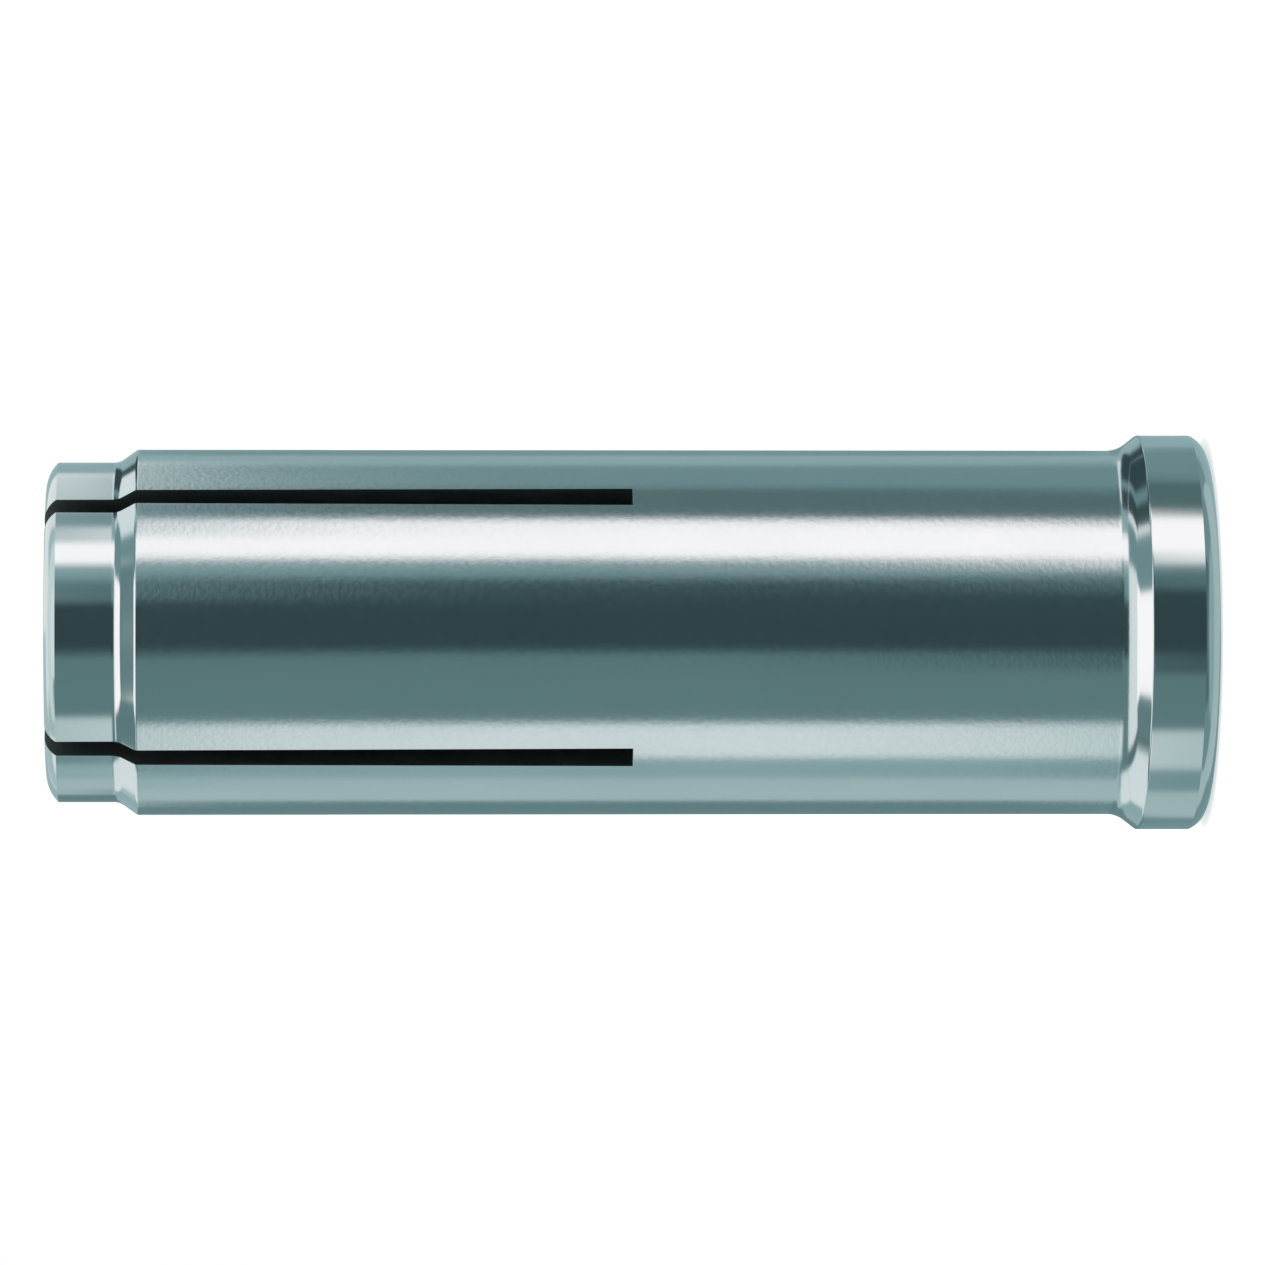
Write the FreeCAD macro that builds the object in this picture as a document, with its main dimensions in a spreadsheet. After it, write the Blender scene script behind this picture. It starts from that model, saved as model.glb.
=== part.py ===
"""Lipped drop-in anchor for a 3/8-16 bolt: a slotted expansion sleeve with its cone plug seated inside.

The anchor stands on its lip. The origin is the middle of the mouth face, and +Z runs along the axis
to the slotted tip. Lengths are millimetres and angles are degrees.
"""
import FreeCAD, Part
import os
import Sketcher

# Driving dimensions. Every shape below takes its size and its place from these.
SIZES = {
    # Outside of the sleeve, from the mouth to the tip
    "sleeve_length": 39.7,
    "lip_dia": 13.54,
    "lip_height": 2.35,
    "mouth_edge_width": 0.84,
    "mouth_edge_height": 0.56,
    "lip_edge_radius": 0.45,
    "lip_root_height": 0.67,
    "lip_root_radius": 0.45,
    "body_dia": 12.5,
    "shoulder_height": 0.62,
    "shoulder_foot_radius": 0.5,
    "neck_dia": 11.62,
    "neck_height": 2.48,
    "tip_edge_width": 0.92,
    "tip_edge_height": 0.4,
    # Bore of the sleeve, from the mouth to the tip
    "mouth_chamfer_dia": 9.9,
    "tap_drill_dia": 7.94,
    "tapped_depth": 16.0,
    "drill_point_angle": 59,
    "plug_bore_dia": 7.5,
    "taper_length": 15.7,
    "tip_bore_dia": 6.1,
    "tip_bore_chamfer": 0.2,
    # Saw slots. Each cut crosses the whole sleeve, so it makes two of them.
    "saw_cuts": 2,
    "slot_length": 19.9,
    "slot_root_width": 0.82,
    "slot_tip_width": 0.64,
    "slot_turn": 45,
    # Expander plug
    "plug_clearance": 0.02,
    "plug_shank_length": 6.3,
    "plug_nose_length": 6.2,
    "plug_edge": 0.4,
}

# How the side of an outline that leaves a corner runs to the next corner. An arc is smooth with the
# straight side on one end of it and makes an edge at its other end.
STRAIGHT = "straight"
SMOOTH_START = "an arc that carries on from the side before it"
SMOOTH_END = "an arc that runs into the side after it"

doc = FreeCAD.newDocument("drop_in_anchor")
sheet = doc.addObject("Spreadsheet::Sheet", "sizes")
for row, (name, value) in enumerate(SIZES.items(), start=1):
    sheet.set(f"A{row}", name)
    sheet.set(f"B{row}", str(value))
    sheet.setAlias(f"B{row}", name)
doc.recompute()


def origin_part(body, role):
    """The plane or axis of this name in the body's own origin."""
    return next(part for part in body.Origin.OriginFeatures if part.Role == role)


def new_section(body, name):
    """A sketch on the body's upright plane through its axis: across is the radius, up is the axis."""
    sketch = body.newObject("Sketcher::SketchObject", name)
    sketch.AttachmentSupport = [(origin_part(body, "XZ_Plane"), "")]
    sketch.MapMode = "FlatFace"
    sketch.Visibility = False
    return sketch


def tangent_arc(start, end, direction):
    """The arc from start to end that leaves start in the given direction."""
    across = FreeCAD.Vector(-direction.y, direction.x, 0)
    chord = end - start
    radius = chord.dot(chord) / (2 * chord.dot(across))
    centre = start + across * radius
    middle = centre + ((start + end) * 0.5 - centre).normalize() * abs(radius)
    return Part.Arc(start, middle, end)


def bind_corner(sketch, corner, across, up):
    """Hold one corner of an outline where two expressions in the sheet's words put it."""
    origin = (-1, 1)
    level_axis, upright_axis = -1, -2
    for kind, expression, axis in (("DistanceX", across, upright_axis), ("DistanceY", up, level_axis)):
        if expression == "0":
            sketch.addConstraint(Sketcher.Constraint("PointOnObject", *corner, axis))
        else:
            value = float(sketch.evalExpression(expression))
            number = sketch.addConstraint(Sketcher.Constraint(kind, *origin, *corner, value))
            sketch.setExpression(f"Constraints[{number}]", expression)


def draw_outline(sketch, corners):
    """Draw a closed outline and bind it to the sheet.

    Each corner is (across, up, side): two expressions, and how the side that leaves it runs.
    """
    points = []
    for across, up, _ in corners:
        x, y = sketch.evalExpression(across), sketch.evalExpression(up)
        points.append(FreeCAD.Vector(float(x), float(y), 0))
    count = len(corners)

    for number, (_, _, side) in enumerate(corners):
        start, end = points[number], points[(number + 1) % count]
        if side == STRAIGHT:
            sketch.addGeometry(Part.LineSegment(start, end), False)
        elif side == SMOOTH_START:
            before = (start - points[number - 1]).normalize()
            sketch.addGeometry(tangent_arc(start, end, before), False)
        else:
            after = (points[(number + 2) % count] - end).normalize()
            sketch.addGeometry(tangent_arc(end, start, after * -1), False)

    def ends(number):
        """The side's first and last point: the sketch may keep an arc the other way round."""
        first = 1 if sketch.getPoint(number, 1).isEqual(points[number], 1e-6) else 2
        return first, 3 - first

    for number, (_, _, side) in enumerate(corners):
        following = (number + 1) % count
        smooth = side == SMOOTH_END or corners[following][2] == SMOOTH_START
        kind = "Tangent" if smooth else "Coincident"
        meeting = (number, ends(number)[1], following, ends(following)[0])
        sketch.addConstraint(Sketcher.Constraint(kind, *meeting))
    for number, (across, up, _) in enumerate(corners):
        bind_corner(sketch, (number, ends(number)[0]), across, up)

    doc.recompute()
    if not sketch.FullyConstrained:
        raise RuntimeError(f"{sketch.Name} can still move")


def turn(body, kind, name, section):
    """Take a half section right round the body's axis, as metal added or metal cut away."""
    feature = body.newObject(kind, name)
    feature.Profile = section
    feature.ReferenceAxis = (section, ["V_Axis"])
    feature.Angle = 360
    doc.recompute()
    return feature


def round_ring(body, base, name, corner):
    """Round the ring edge that a corner of the section makes, by its own radius in the sheet."""
    ring_radius, ring_height = (float(base.evalExpression(distance)) for distance in corner)
    rings = []
    for number, edge in enumerate(base.Shape.Edges, start=1):
        if isinstance(edge.Curve, Part.Circle):
            centre = FreeCAD.Vector(0, 0, ring_height)
            if edge.Curve.Center.isEqual(centre, 1e-6) and abs(edge.Curve.Radius - ring_radius) < 1e-6:
                rings.append(f"Edge{number}")
    fillet = body.newObject("PartDesign::Fillet", name)
    fillet.Base = (base, rings)
    fillet.setExpression("Radius", f"sizes.{name}_radius")
    doc.recompute()
    return fillet


def check_cut(before, after):
    """A cut has to take metal away."""
    if after.Shape.Volume >= before.Shape.Volume:
        raise RuntimeError(f"{after.Name} removed nothing")


def taper_radius(distance):
    """The taper's radius at a distance from its wide end toward the tip, as an expression."""
    narrowing = f"(sizes.plug_bore_dia - sizes.tip_bore_dia) / 2 * {distance} / sizes.taper_length"
    return f"sizes.plug_bore_dia / 2 - {narrowing}"


def turn_outside(sleeve):
    """The blank: lip, plain body, step down to the neck, rounded tip."""
    section = new_section(sleeve, "outside_section")
    lip_end = "sizes.lip_height + sizes.lip_root_height"
    neck_start = "sizes.sleeve_length - sizes.neck_height"
    draw_outline(section, [
        ("0", "0", STRAIGHT),
        ("sizes.lip_dia / 2 - sizes.mouth_edge_width", "0", SMOOTH_START),
        ("sizes.lip_dia / 2", "sizes.mouth_edge_height", STRAIGHT),
        ("sizes.lip_dia / 2", "sizes.lip_height", STRAIGHT),
        ("sizes.body_dia / 2", lip_end, STRAIGHT),
        ("sizes.body_dia / 2", f"{neck_start} - sizes.shoulder_height", STRAIGHT),
        ("sizes.neck_dia / 2", neck_start, STRAIGHT),
        ("sizes.neck_dia / 2", "sizes.sleeve_length - sizes.tip_edge_height", SMOOTH_END),
        ("sizes.neck_dia / 2 - sizes.tip_edge_width", "sizes.sleeve_length", STRAIGHT),
        ("0", "sizes.sleeve_length", STRAIGHT),
    ])
    blank = turn(sleeve, "PartDesign::Revolution", "turned_blank", section)
    rounded = round_ring(sleeve, blank, "lip_edge", ("sizes.lip_dia / 2", "sizes.lip_height"))
    rounded = round_ring(sleeve, rounded, "lip_root", ("sizes.body_dia / 2", lip_end))
    return round_ring(sleeve, rounded, "shoulder_foot", ("sizes.neck_dia / 2", neck_start))


def bore_inside(sleeve):
    """The bore: mouth chamfer, tapped bore, drill point, plug bore, taper, chamfer at the tip."""
    section = new_section(sleeve, "bore_section")
    step = "(sizes.tap_drill_dia - sizes.plug_bore_dia) / 2"
    drill_point = f"{step} / tan(sizes.drill_point_angle * 1 deg)"
    taper_end = "(sizes.taper_length - sizes.tip_bore_chamfer)"
    draw_outline(section, [
        ("0", "0", STRAIGHT),
        ("sizes.mouth_chamfer_dia / 2", "0", STRAIGHT),
        ("sizes.tap_drill_dia / 2", "(sizes.mouth_chamfer_dia - sizes.tap_drill_dia) / 2", STRAIGHT),
        ("sizes.tap_drill_dia / 2", "sizes.tapped_depth", STRAIGHT),
        ("sizes.plug_bore_dia / 2", f"sizes.tapped_depth + {drill_point}", STRAIGHT),
        ("sizes.plug_bore_dia / 2", "sizes.sleeve_length - sizes.taper_length", STRAIGHT),
        (taper_radius(taper_end), "sizes.sleeve_length - sizes.tip_bore_chamfer", STRAIGHT),
        ("sizes.tip_bore_dia / 2 + sizes.tip_bore_chamfer", "sizes.sleeve_length", STRAIGHT),
        ("0", "sizes.sleeve_length", STRAIGHT),
    ])
    return turn(sleeve, "PartDesign::Groove", "bore", section)


def saw_slot_pair(sleeve):
    """One saw cut across the tip, narrower there because the leaves are closed in a little."""
    section = new_section(sleeve, "slot_section")
    upright = FreeCAD.Rotation(FreeCAD.Vector(0, 1, 0), SIZES["slot_turn"])
    section.AttachmentOffset = FreeCAD.Placement(FreeCAD.Vector(0, 0, 0), upright)
    section.setExpression("AttachmentOffset.Rotation.Angle", "sizes.slot_turn * 1 deg")
    slot_root = "sizes.sleeve_length - sizes.slot_length"
    draw_outline(section, [
        ("-sizes.slot_root_width / 2", slot_root, STRAIGHT),
        ("sizes.slot_root_width / 2", slot_root, STRAIGHT),
        ("sizes.slot_tip_width / 2", "sizes.sleeve_length", STRAIGHT),
        ("-sizes.slot_tip_width / 2", "sizes.sleeve_length", STRAIGHT),
    ])
    cut = sleeve.newObject("PartDesign::Pocket", "saw_cut")
    cut.Profile = section
    cut.Type = "ThroughAll"
    cut.SideType = "Symmetric"
    doc.recompute()
    return cut


def repeat_cut(sleeve, cut):
    """The same cut again, turned about the axis, until the tip is in equal leaves."""
    cuts = sleeve.newObject("PartDesign::PolarPattern", "saw_cuts")
    cuts.Originals = [cut]
    cuts.Axis = (origin_part(sleeve, "Z_Axis"), [""])
    cuts.Mode = "Spacing"
    cuts.setExpression("Occurrences", "sizes.saw_cuts")
    cuts.setExpression("Offset", "180 deg / sizes.saw_cuts")
    sleeve.Tip = cuts
    doc.recompute()
    return cuts


def make_sleeve():
    """The anchor's body, one piece: turned, bored and sawn into four leaves at the tip."""
    sleeve = doc.addObject("PartDesign::Body", "sleeve")
    sleeve.Label = "sleeve"
    blank = turn_outside(sleeve)
    bore = bore_inside(sleeve)
    check_cut(blank, bore)
    cut = saw_slot_pair(sleeve)
    check_cut(bore, cut)
    check_cut(cut, repeat_cut(sleeve, cut))
    return sleeve


def make_expander_plug():
    """The cone plug: a short shank with a nose that fits the taper, seated at the taper's wide end."""
    plug = doc.addObject("PartDesign::Body", "expander_plug")
    plug.Label = "expander_plug"
    section = new_section(plug, "plug_section")
    shank_radius = f"{taper_radius('0')} - sizes.plug_clearance"
    nose_radius = f"{taper_radius('sizes.plug_nose_length')} - sizes.plug_clearance"
    nose_end = "sizes.plug_shank_length + sizes.plug_nose_length"
    draw_outline(section, [
        ("0", "0", STRAIGHT),
        (f"{shank_radius} - sizes.plug_edge", "0", STRAIGHT),
        (shank_radius, "sizes.plug_edge", STRAIGHT),
        (shank_radius, "sizes.plug_shank_length", STRAIGHT),
        (nose_radius, nose_end, STRAIGHT),
        ("0", nose_end, STRAIGHT),
    ])
    turn(plug, "PartDesign::Revolution", "turned_plug", section)
    taper_start = "sizes.sleeve_length - sizes.taper_length"
    plug.setExpression("Placement.Base.z", f"{taper_start} - sizes.plug_shank_length")
    return plug


pieces = [make_sleeve(), make_expander_plug()]
doc.recompute()

for item in doc.Objects:
    if "Invalid" in item.State or "Error" in item.State:
        raise RuntimeError(f"{item.Label} failed: {item.State}")
for piece in pieces:
    if piece.Shape.isNull() or not piece.Shape.isValid() or len(piece.Shape.Solids) != 1:
        raise RuntimeError(f"{piece.Label} is not one sound solid")

os.makedirs("parts", exist_ok=True)
for piece in pieces:
    piece.Shape.exportStep(f"parts/{piece.Label}.step")
    print(f"{piece.Label}: {piece.Shape.Volume:.1f} cubic mm")
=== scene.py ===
"""A lipped drop-in anchor, standing on its lip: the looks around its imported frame.

+Z runs along the axis from the mouth to the slotted tip. Sizes are written in millimetres, and MM brings
them to the scene's metres. The picture is taken with the camera on its side, so that the tip is on the left.
"""

from math import atan2, cos, hypot, pi, radians, sin, tan

import bmesh
import bpy
from mathutils import Matrix, Vector


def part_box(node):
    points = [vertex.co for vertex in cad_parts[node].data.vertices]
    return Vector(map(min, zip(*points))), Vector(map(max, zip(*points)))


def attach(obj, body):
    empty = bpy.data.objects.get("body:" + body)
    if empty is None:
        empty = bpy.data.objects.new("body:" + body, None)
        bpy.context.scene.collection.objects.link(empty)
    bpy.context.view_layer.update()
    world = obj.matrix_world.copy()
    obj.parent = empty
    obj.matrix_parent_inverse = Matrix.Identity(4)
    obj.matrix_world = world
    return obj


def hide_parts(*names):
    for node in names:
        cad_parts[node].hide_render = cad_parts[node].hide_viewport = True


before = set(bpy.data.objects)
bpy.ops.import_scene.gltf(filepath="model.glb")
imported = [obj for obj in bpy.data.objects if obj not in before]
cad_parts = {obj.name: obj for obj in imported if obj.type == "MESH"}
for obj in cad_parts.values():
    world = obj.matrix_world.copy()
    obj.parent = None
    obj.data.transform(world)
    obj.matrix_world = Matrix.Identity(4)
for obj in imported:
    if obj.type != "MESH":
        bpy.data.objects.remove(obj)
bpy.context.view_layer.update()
scene = bpy.context.scene

MM = 0.001
AXIS = Vector((0, 0, 1))

# The sleeve's outside, from the mouth to the tip
SLEEVE_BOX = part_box("sleeve")
LENGTH = round(SLEEVE_BOX[1].z / MM, 2)
LIP_RADIUS = round(SLEEVE_BOX[1].x / MM, 2)
MOUTH_EDGE_WIDTH = 0.84
MOUTH_EDGE_HEIGHT = 0.56
LIP_HEIGHT = 2.35
LIP_EDGE_ROUND = 0.1
LIP_SLOPE_HEIGHT = 0.67
LIP_END = LIP_HEIGHT + LIP_SLOPE_HEIGHT
LIP_ROOT_ROUND = 0.9
BODY_RADIUS = 6.25
NECK_LENGTH = 2.48
NECK_START = LENGTH - NECK_LENGTH
SHOULDER_HEIGHT = 0.62
SHOULDER_START = NECK_START - SHOULDER_HEIGHT
SHOULDER_EDGE_ROUND = 0.15
SHOULDER_FOOT_ROUND = 0.5
NECK_RADIUS = 5.81
TIP_EDGE_WIDTH = 0.92
TIP_EDGE_HEIGHT = 0.4

# The bore, from the mouth to the tip. A face whose middle is within FACE_MARGIN of the tip's level is the
# tip's own, and not part of the bore.
MOUTH_CHAMFER_RADIUS = 4.95
TAP_DRILL_RADIUS = 3.97
TAPPED_DEPTH = 16.0
DRILL_POINT_ANGLE = radians(59)
PLUG_BORE_RADIUS = 3.75
TAPER_LENGTH = 15.7
TAPER_START = LENGTH - TAPER_LENGTH
TIP_BORE_RADIUS = 3.05
TIP_BORE_CHAMFER = 0.2
FACE_MARGIN = 0.004

# The 3/8-16 thread in the bore. Its cutter stands out of the drilled wall, into the bore, by TAP_OVERLAP.
PITCH = 25.4 / 16
THREAD_RADIUS = 9.525 / 2
THREAD_FLAT = PITCH / 8
FLANK_ANGLE = radians(30)
THREAD_END = 15.0
RUN_OUT = 1.5 * PITCH
TAP_OVERLAP = 0.1

# The saw cuts: each one crosses the whole tip and makes two slots. The blade passes the tip by SAW_OVERRUN.
SAW_TURNS = (radians(45), radians(135))
SLOT_LENGTH = 19.9
SLOT_ROOT = LENGTH - SLOT_LENGTH
SLOT_ROOT_WIDTH = 0.82
SLOT_TIP_WIDTH = 0.64
SAW_OVERRUN = 1

# The cone plug
PLUG_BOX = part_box("expander_plug")
PLUG_BACK = PLUG_BOX[0].z / MM
PLUG_FRONT = PLUG_BOX[1].z / MM
PLUG_RADIUS = round(PLUG_BOX[1].x / MM, 2)
PLUG_CLEARANCE = PLUG_BORE_RADIUS - PLUG_RADIUS
PLUG_EDGE = 0.4
PLUG_EDGE_ROUND = 0.12

# How finely the meshes are cut. A straight line longer than LONG_LINE is split at HOLD from its ends.
TURN_STEPS = 192
THREAD_STEPS = 72
ARC_STEPS = 12
ROUND_STEPS = 8
HOLD = 0.03
LONG_LINE = 6 * HOLD
MERGE_DISTANCE = 0.0005
SHARP_ANGLE = radians(18)

# The camera, in millimetres from the middle of the mouth
CAMERA_TURN = radians(-2.35)
CAMERA_DISTANCE = 311
CAMERA_HEIGHT = 31.0
AIM_HEIGHT = 19.65
AIM_SIDE = -0.005
VIEW_WIDTH = 43.38
SENSOR_WIDTH = 36
CLIP_START = 10

# The floor. It lies FLOOR_GAP under the mouth face, so that the two don't share a plane.
FLOOR_GAP = 0.01
FLOOR_REACH = 10000
FLOOR_PAINT = (0.82, 0.82, 0.82)
FLOOR_LIFT = 0.5

# The light. A seen strength of 1 is white.
WORLD_STRENGTH = 0.85
SEEN_STRENGTH = 1.0
LAMP_SIZE = 400
LAMP_HEIGHT = 600
LAMP_ENERGY = 1.0

# The zinc plating: how softly its bright ends begin, the share of the turning marks in its grain, and the
# roughness and grain of the bright ends
NECK_FADE = 0.1
LIP_FADE = 0.3
TURNING_SHARE = 0.15
BRIGHT_ROUGHNESS = 0.12
BRIGHT_GRAIN = 0.12

# The usual range of a noise value, and how deep a full bump is
NOISE_LOW = 0.3
NOISE_HIGH = 0.7
BUMP_DEPTH = 0.01

# The Mix node's colour sockets go by number, because its other sockets share their names
MIX_FIRST_COLOUR = 6
MIX_SECOND_COLOUR = 7
MIX_COLOUR_RESULT = 2

# The cloths of the studio tent, as the light that they give off
BLACK = (0.045, 0.078, 0.086)
CHARCOAL = (0.12, 0.195, 0.2)
TEAL = (0.165, 0.27, 0.275)
SLATE = (0.225, 0.35, 0.365)
GREY = (0.37, 0.51, 0.53)
SILVER = (0.53, 0.64, 0.645)
PALE = (0.84, 0.92, 0.91)
LIGHT = (1.0, 1.0, 1.0)
WHITE = (1.54, 1.35, 1.35)

# The tent hangs round the anchor in belts, seen only by way of the metal. A belt has its lower and upper
# edge, as degrees above the anchor's middle, and its stretches. A stretch is the side where it ends, as
# degrees round the anchor from the camera toward the picture's top, and its cloth. The first one starts
# behind the anchor, at -180.
TENT_RADIUS = 1000
TENT_STEPS = 96
SEAM_SOFTNESS = 2.5
TENT = {
    "tent_foot": (-90, -62, [(-110, SILVER), (110, GREY), (180, SILVER)]),
    "tent_under": (-62, -40, [(-110, SILVER), (-60, SLATE), (60, CHARCOAL), (110, SLATE), (180, SILVER)]),
    "tent_lip": (-40, -6.1, [
        (-139, SLATE), (-107, SILVER), (-88, SLATE), (-59, SILVER), (-24, TEAL), (25, BLACK),
        (40, TEAL), (71, WHITE), (98, CHARCOAL), (138, SLATE), (180, GREY),
    ]),
    "tent_body": (-6.1, 2.1, [
        (-134, TEAL), (-105, SILVER), (-86, GREY), (-59, LIGHT), (-12, TEAL), (34, BLACK),
        (47, SLATE), (76, WHITE), (104, CHARCOAL), (131, SLATE), (150, GREY), (180, SLATE),
    ]),
    "tent_neck": (2.1, 7, [
        (-145, TEAL), (-118, SILVER), (-100, GREY), (-88, TEAL), (-60, SILVER), (-16, TEAL), (20, BLACK),
        (37, SLATE), (46, GREY), (63, WHITE), (90, GREY), (138, LIGHT), (180, GREY),
    ]),
    "tent_rise": (7, 22, [
        (-138, GREY), (-100, LIGHT), (-16, TEAL), (20, BLACK), (37, SLATE), (46, GREY),
        (65, WHITE), (85, GREY), (104, BLACK), (113, SLATE), (150, BLACK), (180, GREY),
    ]),
    "tent_slope": (22, 58, [
        (-160, LIGHT), (-100, SILVER), (-84, CHARCOAL), (46, LIGHT), (78, SLATE), (116, LIGHT),
        (160, SILVER), (180, LIGHT),
    ]),
    "tent_ring": (58, 74, [(-120, PALE), (78, TEAL), (180, PALE)]),
    "tent_cap": (74, 90, [(180, LIGHT)]),
}

# Flat cards hang level above the tip, where the lip's slope sees them and the body hardly does. A card has
# its inner and outer radius, the side where it starts, and its stretches, told as a belt's are.
CARD_HEIGHT = 60
CARDS = {
    "lip_card": (17, 50, -180, [
        (-138, SILVER), (-98, LIGHT), (-57, TEAL), (38, WHITE), (82, SLATE), (180, LIGHT),
    ]),
    "lip_sheet": (50, 135, -138, [(-98, LIGHT)]),
    "lip_flag": (50, 135, 84, [(104, BLACK), (113, SLATE), (146, BLACK)]),
}


def millimetres(across, up):
    """A point of the upright XZ plane, from its distance to the axis and its height."""
    return Vector((across * MM, 0, up * MM))


def draw_line(bm, corners):
    """An open line through corners of the upright plane."""
    line = [bm.verts.new(millimetres(*corner)) for corner in corners]
    for start, end in zip(line, line[1:]):
        bm.edges.new((start, end))
    return line


def draw_edge_arc(bm, face_end, band_end):
    """The arc that leaves a level face smoothly and makes an edge with the band beside it."""
    width = band_end.co.x - face_end.co.x
    height = abs(band_end.co.z - face_end.co.z)
    radius = hypot(width, height) ** 2 / (2 * height)
    upward = 1 if band_end.co.z > face_end.co.z else -1
    centre = face_end.co + AXIS * upward * radius
    bmesh.ops.spin(
        bm, geom=[face_end], cent=centre, axis=(0, -upward, 0),
        angle=atan2(width, radius - height), steps=ARC_STEPS,
    )


def round_corner(bm, corner, radius):
    """Round one corner of a line."""
    before, after = (edge.other_vert(corner).co - corner.co for edge in corner.link_edges)
    turn = pi - before.angle(after)
    bmesh.ops.bevel(
        bm, geom=[corner], offset=radius * MM * tan(turn / 2), segments=ROUND_STEPS,
        profile=0.5, affect="VERTICES", material=-1,
    )


def merge_doubles(bm):
    """Join the points that lie on each other."""
    bmesh.ops.remove_doubles(bm, verts=bm.verts, dist=MERGE_DISTANCE * MM)


def hold_straight_lines(bm):
    """Split each straight line near its ends, so that the rounding beside it doesn't bend its shading."""
    for line in bm.edges[:]:
        if line.calc_length() > LONG_LINE * MM:
            for end in line.verts[:]:
                bmesh.utils.edge_split(line, end, HOLD * MM / line.calc_length())


def turn_solid(bm):
    """Spin a section right round the axis, with its faces outwards."""
    merge_doubles(bm)
    hold_straight_lines(bm)
    bmesh.ops.spin(
        bm, geom=bm.verts[:] + bm.edges[:], cent=(0, 0, 0), axis=AXIS,
        angle=2 * pi, steps=TURN_STEPS, use_merge=True,
    )
    merge_doubles(bm)
    bmesh.ops.recalc_face_normals(bm, faces=bm.faces)


def make_object(name, bm, materials):
    """Turn a bmesh into an object of the scene."""
    mesh = bpy.data.meshes.new(name)
    bm.to_mesh(mesh)
    bm.free()
    for material in materials:
        mesh.materials.append(material)
    made = bpy.data.objects.new(name, mesh)
    scene.collection.objects.link(made)
    return made


def turned_sleeve():
    """The sleeve as it leaves the lathe, before it is tapped and sawn."""
    bm = bmesh.new()
    outside = draw_line(bm, [
        (LIP_RADIUS, MOUTH_EDGE_HEIGHT),
        (LIP_RADIUS, LIP_HEIGHT),
        (BODY_RADIUS, LIP_END),
        (BODY_RADIUS, SHOULDER_START),
        (NECK_RADIUS, NECK_START),
        (NECK_RADIUS, LENGTH - TIP_EDGE_HEIGHT),
    ])
    mouth_chamfer = MOUTH_CHAMFER_RADIUS - TAP_DRILL_RADIUS
    drill_point = (TAP_DRILL_RADIUS - PLUG_BORE_RADIUS) / tan(DRILL_POINT_ANGLE)
    taper_share = 1 - TIP_BORE_CHAMFER / TAPER_LENGTH
    taper_end_radius = PLUG_BORE_RADIUS + (TIP_BORE_RADIUS - PLUG_BORE_RADIUS) * taper_share
    inside = draw_line(bm, [
        (NECK_RADIUS - TIP_EDGE_WIDTH, LENGTH),
        (TIP_BORE_RADIUS + TIP_BORE_CHAMFER, LENGTH),
        (taper_end_radius, LENGTH - TIP_BORE_CHAMFER),
        (PLUG_BORE_RADIUS, TAPER_START),
        (PLUG_BORE_RADIUS, TAPPED_DEPTH + drill_point),
        (TAP_DRILL_RADIUS, TAPPED_DEPTH),
        (TAP_DRILL_RADIUS, mouth_chamfer),
        (MOUTH_CHAMFER_RADIUS, 0),
        (LIP_RADIUS - MOUTH_EDGE_WIDTH, 0),
    ])
    draw_edge_arc(bm, inside[-1], outside[0])
    draw_edge_arc(bm, inside[0], outside[-1])
    _, lip_edge, lip_root, shoulder_edge, shoulder_foot, _ = outside
    round_corner(bm, lip_edge, LIP_EDGE_ROUND)
    round_corner(bm, lip_root, LIP_ROOT_ROUND)
    round_corner(bm, shoulder_edge, SHOULDER_EDGE_ROUND)
    round_corner(bm, shoulder_foot, SHOULDER_FOOT_ROUND)
    turn_solid(bm)
    return bm


def thread_tap():
    """The thread's groove as a solid to cut with: one V that climbs round the axis, right-handed."""
    bm = bmesh.new()
    inner = TAP_DRILL_RADIUS - TAP_OVERLAP
    root_half = THREAD_FLAT / 2
    inner_half = root_half + (THREAD_RADIUS - inner) * tan(FLANK_ANGLE)
    start = -PITCH
    section = draw_line(bm, [
        (inner, start - inner_half),
        (THREAD_RADIUS, start - root_half),
        (THREAD_RADIUS, start + root_half),
        (inner, start + inner_half),
    ])
    bm.edges.new((section[-1], section[0]))
    turns = (THREAD_END - start) / PITCH
    steps = round(turns * THREAD_STEPS)
    bmesh.ops.spin(
        bm, geom=bm.verts[:] + bm.edges[:], cent=(0, 0, 0), axis=AXIS,
        dvec=AXIS * PITCH / THREAD_STEPS * MM, angle=turns * 2 * pi, steps=steps,
    )
    bmesh.ops.holes_fill(bm, edges=bm.edges, sides=4)
    for vert in bm.verts:
        past = max(0, vert.co.z / MM - (THREAD_END - RUN_OUT)) / RUN_OUT
        shrink = 1 - past * (1 - TAP_DRILL_RADIUS / THREAD_RADIUS)
        vert.co.x *= shrink
        vert.co.y *= shrink
    bmesh.ops.recalc_face_normals(bm, faces=bm.faces)
    return bm


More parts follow.
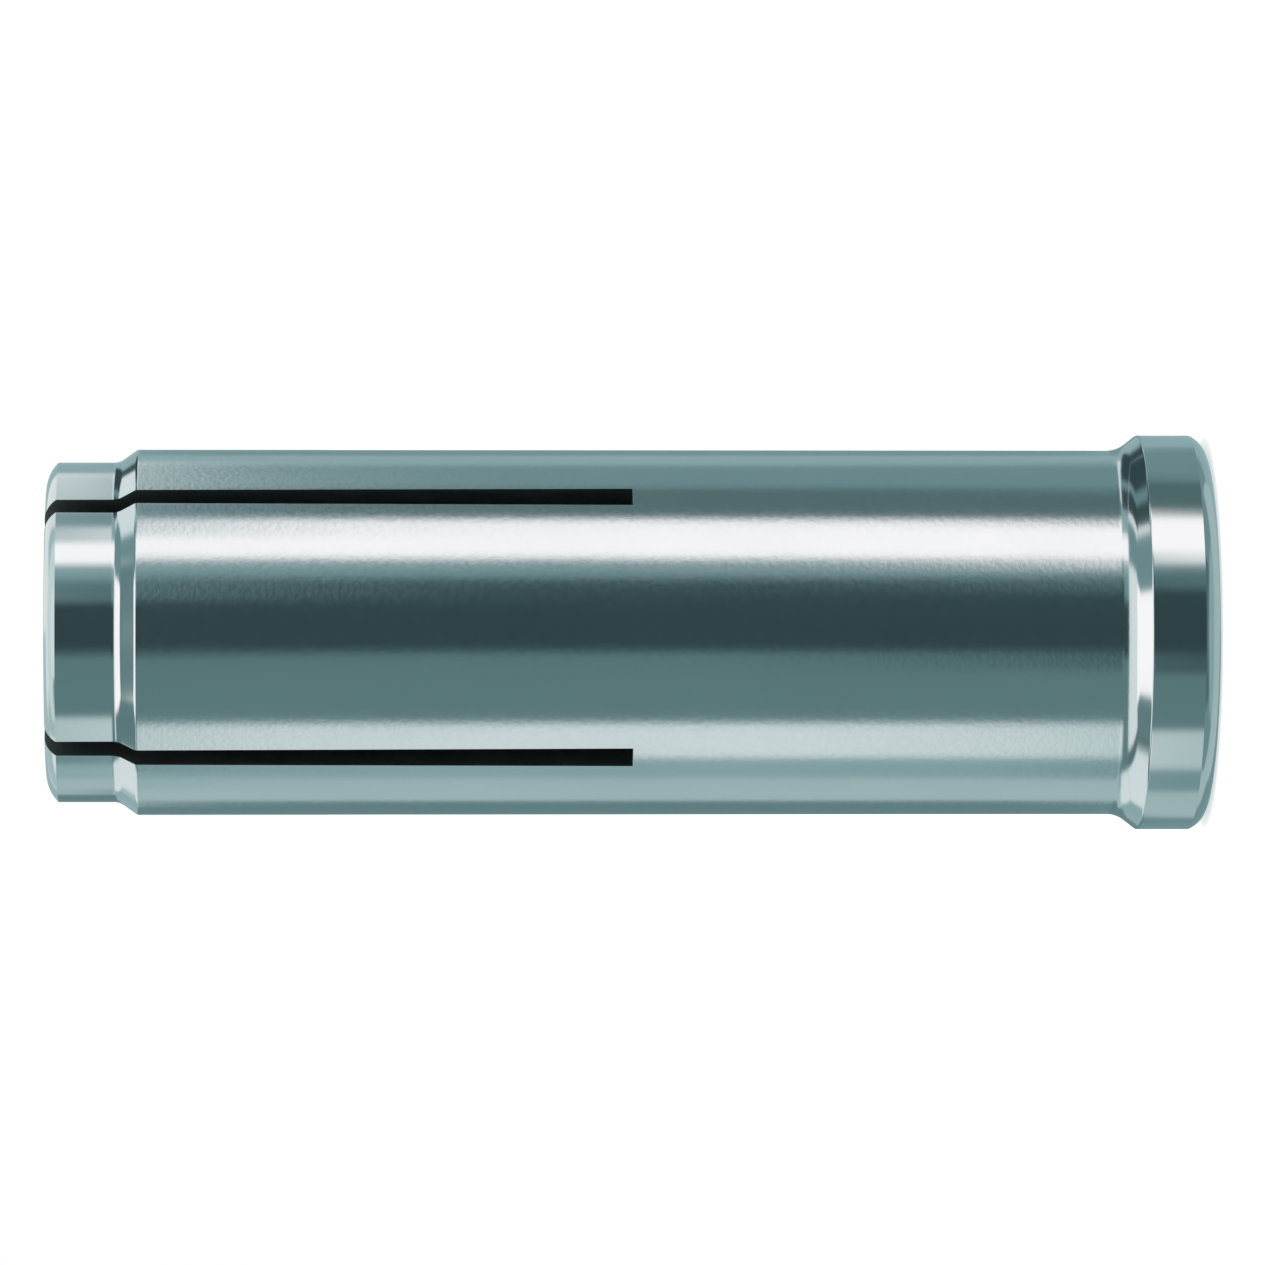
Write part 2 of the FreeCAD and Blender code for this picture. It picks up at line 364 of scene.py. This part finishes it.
def saw_blade(turn):
    """One saw cut as a solid to cut with, a little narrower at the tip."""
    bm = bmesh.new()
    reach = 2 * LIP_RADIUS
    above = LENGTH + SAW_OVERRUN
    narrowing = (SLOT_ROOT_WIDTH - SLOT_TIP_WIDTH) / SLOT_LENGTH
    top_width = SLOT_ROOT_WIDTH - narrowing * (above - SLOT_ROOT)
    bmesh.ops.create_cube(bm, size=1)
    bmesh.ops.scale(bm, vec=(reach * MM, SLOT_ROOT_WIDTH * MM, (above - SLOT_ROOT) * MM), verts=bm.verts)
    bmesh.ops.translate(bm, vec=(0, 0, (above + SLOT_ROOT) / 2 * MM), verts=bm.verts)
    top = [vert for vert in bm.verts if vert.co.z > LENGTH * MM]
    bmesh.ops.scale(bm, vec=(1, top_width / SLOT_ROOT_WIDTH, 1), verts=top)
    bmesh.ops.rotate(bm, cent=(0, 0, 0), matrix=Matrix.Rotation(turn, 3, "Z"), verts=bm.verts)
    return bm


def cut_away(piece, cutter):
    """Take the cutter's solid out of the piece, and the cutter out of the scene."""
    cut = piece.modifiers.new("cut", "BOOLEAN")
    cut.operation = "DIFFERENCE"
    cut.solver = "EXACT"
    cut.object = cutter
    shape = piece.evaluated_get(bpy.context.evaluated_depsgraph_get())
    cut_mesh = bpy.data.meshes.new_from_object(shape)
    piece.modifiers.clear()
    blank = piece.data
    piece.data = cut_mesh
    bpy.data.meshes.remove(blank)
    bpy.data.objects.remove(cutter)
    cut_mesh.name = piece.name


def shade(piece):
    """Smooth shading between sharp edges."""
    piece.data.shade_smooth()
    piece.data.set_sharp_from_angle(angle=SHARP_ANGLE)


def add_node(tree, kind, inputs=None, **settings):
    """A new node: inputs are set by name or number, to a value or to the socket that feeds them."""
    made = tree.nodes.new(kind)
    for name, value in settings.items():
        setattr(made, name, value)
    for name, value in (inputs or {}).items():
        if isinstance(value, bpy.types.NodeSocket):
            tree.links.new(value, made.inputs[name])
        else:
            made.inputs[name].default_value = value
    return made


def new_material(name):
    """An empty node material and its output node."""
    material = bpy.data.materials.new(name)
    material.use_nodes = True
    material.node_tree.nodes.clear()
    output = material.node_tree.nodes.new("ShaderNodeOutputMaterial")
    return material, material.node_tree, output


def noise(tree, size, stretch=(1, 1, 1), detail=2):
    """Object-space noise: size is the grain in millimetres, stretch makes it longer along an axis."""
    place = add_node(tree, "ShaderNodeTexCoord").outputs["Object"]
    scale = [1 / (size * MM * share) for share in stretch]
    mapped = add_node(tree, "ShaderNodeMapping", {"Vector": place, "Scale": scale})
    texture = add_node(
        tree, "ShaderNodeTexNoise", {"Vector": mapped.outputs[0], "Scale": 1, "Detail": detail},
    )
    return texture.outputs["Fac"]


def spread(tree, value, low, high):
    """A noise value, taken from its usual range to low and high."""
    ramp = add_node(
        tree, "ShaderNodeMapRange",
        {"Value": value, "From Min": NOISE_LOW, "From Max": NOISE_HIGH, "To Min": low, "To Max": high},
    )
    return ramp.outputs["Result"]


def step_along_axis(tree, start, end):
    """0 at the height start and 1 at the height end, smooth between them."""
    place = add_node(tree, "ShaderNodeTexCoord").outputs["Object"]
    height = add_node(tree, "ShaderNodeSeparateXYZ", {"Vector": place}).outputs["Z"]
    ramp = add_node(
        tree, "ShaderNodeMapRange",
        {"Value": height, "From Min": start * MM, "From Max": end * MM},
        interpolation_type="SMOOTHSTEP",
    )
    return ramp.outputs["Result"]


def maths(tree, operation, first, second):
    """One arithmetic step between two values."""
    return add_node(tree, "ShaderNodeMath", {0: first, 1: second}, operation=operation).outputs[0]


def mix_value(tree, share, first, second):
    """A value: first where share is 0, second where it is 1."""
    mixed = add_node(tree, "ShaderNodeMix", {"Factor": share, "A": first, "B": second}, data_type="FLOAT")
    return mixed.outputs["Result"]


def mix_colour(tree, share, first, second):
    """A colour: first where share is 0, second where it is 1."""
    mixed = add_node(tree, "ShaderNodeMix", data_type="RGBA")
    tree.links.new(share, mixed.inputs["Factor"])
    mixed.inputs[MIX_FIRST_COLOUR].default_value = (*first, 1)
    mixed.inputs[MIX_SECOND_COLOUR].default_value = (*second, 1)
    return mixed.outputs[MIX_COLOUR_RESULT]


def metal(started, dark, light, blotch, roughness, height, bump):
    """Finish a new material as metal: its two shades, what mixes them, its roughness and its surface."""
    material, tree, output = started
    colour = mix_colour(tree, blotch, dark, light)
    normal = add_node(
        tree, "ShaderNodeBump", {"Height": height, "Strength": bump, "Distance": BUMP_DEPTH * MM},
    )
    shader = add_node(tree, "ShaderNodeBsdfPrincipled", {
        "Base Color": colour, "Metallic": 1, "Roughness": roughness, "Normal": normal.outputs[0],
    })
    tree.links.new(shader.outputs[0], output.inputs["Surface"])
    return material


def zinc_plating():
    """The outside: satin plating with a fine grain, bright on the lip and the neck."""
    started = new_material("zinc_plating")
    tree = started[1]
    neck = step_along_axis(tree, SHOULDER_START - NECK_FADE, SHOULDER_START + NECK_FADE)
    lip = step_along_axis(tree, LIP_END + LIP_FADE, LIP_END - LIP_FADE)
    bright = maths(tree, "MAXIMUM", neck, lip)
    speckle = noise(tree, size=0.17, detail=3)
    turning = noise(tree, size=0.08, stretch=(40, 40, 1))
    blotch = noise(tree, size=2.5, stretch=(1, 1, 1.8), detail=4)
    satin = spread(tree, speckle, low=0.13, high=0.17)
    roughness = mix_value(tree, bright, satin, BRIGHT_ROUGHNESS)
    grain = maths(tree, "ADD", speckle, maths(tree, "MULTIPLY", turning, TURNING_SHARE))
    height = maths(tree, "MULTIPLY", grain, mix_value(tree, bright, 1.0, BRIGHT_GRAIN))
    return metal(
        started, dark=(0.56, 0.65, 0.66), light=(0.63, 0.71, 0.72),
        blotch=blotch, roughness=roughness, height=height, bump=0.2,
    )


def bore_plating():
    """The bore: thin, dull plating over the marks of the drill and the tap."""
    started = new_material("bore_plating")
    tree = started[1]
    rings = noise(tree, size=0.1, stretch=(30, 30, 1))
    blotch = noise(tree, size=1.2, detail=3)
    roughness = spread(tree, rings, low=0.34, high=0.5)
    return metal(
        started, dark=(0.34, 0.38, 0.38), light=(0.44, 0.48, 0.48),
        blotch=blotch, roughness=roughness, height=rings, bump=0.3,
    )


def sawn_plating_and_slot_shade():
    """The slot walls: dull plating over the saw's fine strokes, which run along the slot. Their dark colour
    is partly painted shade of the deep, narrow slots.
    """
    started = new_material("sawn_plating_and_slot_shade")
    tree = started[1]
    strokes = noise(tree, size=0.05, stretch=(1, 1, 30))
    blotch = noise(tree, size=0.8, detail=3)
    roughness = spread(tree, strokes, low=0.4, high=0.55)
    # The dark colours are painted shade of the deep, narrow slots, laid over dull plating.
    return metal(
        started, dark=(0.16, 0.2, 0.2), light=(0.24, 0.28, 0.28),
        blotch=blotch, roughness=roughness, height=strokes, bump=0.35,
    )


def plain_steel():
    """The plug: plain turned steel with rings from the lathe and a film of oil."""
    started = new_material("plain_steel")
    tree = started[1]
    rings = noise(tree, size=0.07, stretch=(60, 60, 1))
    blotch = noise(tree, size=1.5, detail=4)
    roughness = spread(tree, rings, low=0.24, high=0.4)
    return metal(
        started, dark=(0.33, 0.33, 0.34), light=(0.45, 0.45, 0.46),
        blotch=blotch, roughness=roughness, height=rings, bump=0.3,
    )


def make_sleeve():
    """The sleeve: turned, tapped and sawn."""
    materials = [zinc_plating(), bore_plating(), sawn_plating_and_slot_shade()]
    _, bore, sawn = range(len(materials))
    bm = turned_sleeve()
    for face in bm.faces:
        middle = face.calc_center_median() / MM
        if hypot(middle.x, middle.y) < MOUTH_CHAMFER_RADIUS and 0 < middle.z < LENGTH - FACE_MARGIN:
            face.material_index = bore
    sleeve = make_object("anchor_sleeve", bm, materials)
    cutters = [(thread_tap(), bore)]
    cutters += [(saw_blade(turn), sawn) for turn in SAW_TURNS]
    for cutter, finish in cutters:
        for face in cutter.faces:
            face.material_index = finish
        cut_away(sleeve, make_object("cutter", cutter, materials))
    shade(sleeve)
    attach(sleeve, "root")
    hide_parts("sleeve")


def make_plug():
    """The cone plug: a short shank with a nose that fits the taper."""
    bm = bmesh.new()
    taper = (PLUG_BORE_RADIUS - TIP_BORE_RADIUS) / TAPER_LENGTH
    nose_radius = PLUG_BORE_RADIUS - PLUG_CLEARANCE - taper * (PLUG_FRONT - TAPER_START)
    profile = draw_line(bm, [
        (0, PLUG_BACK),
        (PLUG_RADIUS - PLUG_EDGE, PLUG_BACK),
        (PLUG_RADIUS, PLUG_BACK + PLUG_EDGE),
        (PLUG_RADIUS, TAPER_START),
        (nose_radius, PLUG_FRONT),
        (0, PLUG_FRONT),
    ])
    _, back_edge, shank_edge, _, nose_edge, _ = profile
    for corner in (back_edge, shank_edge, nose_edge):
        round_corner(bm, corner, PLUG_EDGE_ROUND)
    turn_solid(bm)
    plug = make_object("cone_plug", bm, [plain_steel()])
    shade(plug)
    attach(plug, "root")
    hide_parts("expander_plug")


def white_for_seen_rays(tree):
    """1 for rays that show a background: from the camera, or by way of metal or glass. 0 for the rest."""
    path = add_node(tree, "ShaderNodeLightPath")
    camera_or_glossy = maths(tree, "MAXIMUM", path.outputs["Is Camera Ray"], path.outputs["Is Glossy Ray"])
    return maths(tree, "MAXIMUM", camera_or_glossy, path.outputs["Is Transmission Ray"])


def light_world():
    """A white background, and a plain even light a little under it."""
    world = bpy.data.worlds.new("studio")
    scene.world = world
    world.use_nodes = True
    tree = world.node_tree
    tree.nodes.clear()
    strength = mix_value(tree, white_for_seen_rays(tree), WORLD_STRENGTH, SEEN_STRENGTH)
    background = add_node(tree, "ShaderNodeBackground", {"Color": (1, 1, 1, 1), "Strength": strength})
    output = add_node(tree, "ShaderNodeOutputWorld")
    tree.links.new(background.outputs[0], output.inputs["Surface"])


def make_floor():
    """The pale floor. It is lifted to white where it is seen, and the shadow stays on it."""
    material, tree, output = new_material("pale_floor")
    paint = add_node(tree, "ShaderNodeBsdfDiffuse", {"Color": (*FLOOR_PAINT, 1)})
    lift = maths(tree, "MULTIPLY", white_for_seen_rays(tree), FLOOR_LIFT)
    glow = add_node(tree, "ShaderNodeEmission", {"Strength": lift})
    both = add_node(tree, "ShaderNodeAddShader", {0: paint.outputs[0], 1: glow.outputs[0]})
    tree.links.new(both.outputs[0], output.inputs["Surface"])
    bm = bmesh.new()
    bmesh.ops.create_grid(
        bm, x_segments=1, y_segments=1, size=FLOOR_REACH * MM,
        matrix=Matrix.Translation((0, 0, -FLOOR_GAP * MM)),
    )
    floor = make_object("floor", bm, [material])
    floor.visible_glossy = False


def make_lamp():
    """One large soft lamp above, which gives the floor its shadow."""
    lamp = bpy.data.lights.new("overhead_lamp", "AREA")
    lamp.shape = "SQUARE"
    lamp.size = LAMP_SIZE * MM
    lamp.energy = LAMP_ENERGY
    placed = bpy.data.objects.new("overhead_lamp", lamp)
    placed.location = (0, 0, LAMP_HEIGHT * MM)
    placed.visible_glossy = False
    scene.collection.objects.link(placed)


def along_gradient(side):
    """Where a side lies on a gradient that runs from 0 behind the anchor right round to 1."""
    return (side + 180) / 360


def dye(name, stretches):
    """A cloth's material: its stretches one after another round the anchor, with soft seams."""
    material, tree, output = new_material(name)
    material.cycles.emission_sampling = "NONE"
    place = add_node(tree, "ShaderNodeTexCoord").outputs["Object"]
    turned = add_node(
        tree, "ShaderNodeMapping", {"Vector": place, "Rotation": (0, 0, radians(90) - CAMERA_TURN)},
    )
    side = add_node(
        tree, "ShaderNodeTexGradient", {"Vector": turned.outputs[0]}, gradient_type="RADIAL",
    )
    ramp = add_node(tree, "ShaderNodeValToRGB", {"Fac": side.outputs["Fac"]})
    stops = ramp.color_ramp.elements
    stops[0].color = (*stretches[0][1], 1)
    stops[1].color = (*stretches[-1][1], 1)
    for (seam, cloth), (_, next_cloth) in zip(stretches, stretches[1:]):
        stops.new(along_gradient(seam - SEAM_SOFTNESS)).color = (*cloth, 1)
        stops.new(along_gradient(seam + SEAM_SOFTNESS)).color = (*next_cloth, 1)
    glow = add_node(tree, "ShaderNodeEmission", {"Color": ramp.outputs["Color"], "Strength": 1})
    tree.links.new(glow.outputs[0], output.inputs["Surface"])
    return material


def hang(name, bm, material):
    """Put up one piece of the tent. Only reflections see it."""
    cloth = make_object(name, bm, [material])
    cloth.visible_camera = False
    cloth.visible_diffuse = False
    cloth.visible_transmission = False
    cloth.visible_shadow = False


def hang_belt(name, low, high, stretches):
    """One belt of the round tent."""
    middle = Vector((0, 0, LENGTH / 2 * MM))
    low, high = radians(low), radians(high)
    bm = bmesh.new()
    start = bm.verts.new(middle + Vector((0, -cos(low), sin(low))) * TENT_RADIUS * MM)
    bmesh.ops.spin(bm, geom=[start], cent=middle, axis=(-1, 0, 0), angle=high - low, steps=ARC_STEPS)
    bmesh.ops.spin(
        bm, geom=bm.verts[:] + bm.edges[:], cent=middle, axis=AXIS,
        angle=2 * pi, steps=TENT_STEPS, use_merge=True,
    )
    hang(name, bm, dye(name, stretches))


def hang_card(name, inner, outer, start, stretches):
    """One flat card, from the side where it starts to the side where its last stretch ends."""
    end = stretches[-1][0]
    bm = bmesh.new()
    draw_line(bm, [(inner, CARD_HEIGHT), (outer, CARD_HEIGHT)])
    turn = Matrix.Rotation(radians(start - 90) + CAMERA_TURN, 3, "Z")
    bmesh.ops.rotate(bm, cent=(0, 0, 0), matrix=turn, verts=bm.verts)
    bmesh.ops.spin(
        bm, geom=bm.verts[:] + bm.edges[:], cent=(0, 0, 0), axis=AXIS,
        angle=radians(end - start), steps=TENT_STEPS, use_merge=end - start == 360,
    )
    hang(name, bm, dye(name, stretches))


def place_camera():
    """The photograph's view: level with the upper body, turned on its side, tip to the left."""
    toward_camera = Vector((sin(CAMERA_TURN), -cos(CAMERA_TURN), 0))
    picture_top = Vector((cos(CAMERA_TURN), sin(CAMERA_TURN), 0))
    aim = (AXIS * AIM_HEIGHT + picture_top * AIM_SIDE) * MM
    location = (toward_camera * CAMERA_DISTANCE + AXIS * CAMERA_HEIGHT) * MM
    back = (location - aim).normalized()
    right = (-AXIS + back * AXIS.dot(back)).normalized()
    up = back.cross(right)
    camera = bpy.data.cameras.new("camera")
    camera.sensor_width = SENSOR_WIDTH
    camera.lens = SENSOR_WIDTH * CAMERA_DISTANCE / VIEW_WIDTH
    camera.clip_start = CLIP_START * MM
    placed = bpy.data.objects.new("camera", camera)
    placed.matrix_world = Matrix.Translation(location) @ Matrix((right, up, back)).transposed().to_4x4()
    scene.collection.objects.link(placed)
    scene.camera = placed


place_camera()
light_world()
make_floor()
make_lamp()
for name, (low, high, stretches) in TENT.items():
    hang_belt(name, low, high, stretches)
for name, (inner, outer, start, stretches) in CARDS.items():
    hang_card(name, inner, outer, start, stretches)
make_sleeve()
make_plug()
scene.view_settings.view_transform = "Standard"
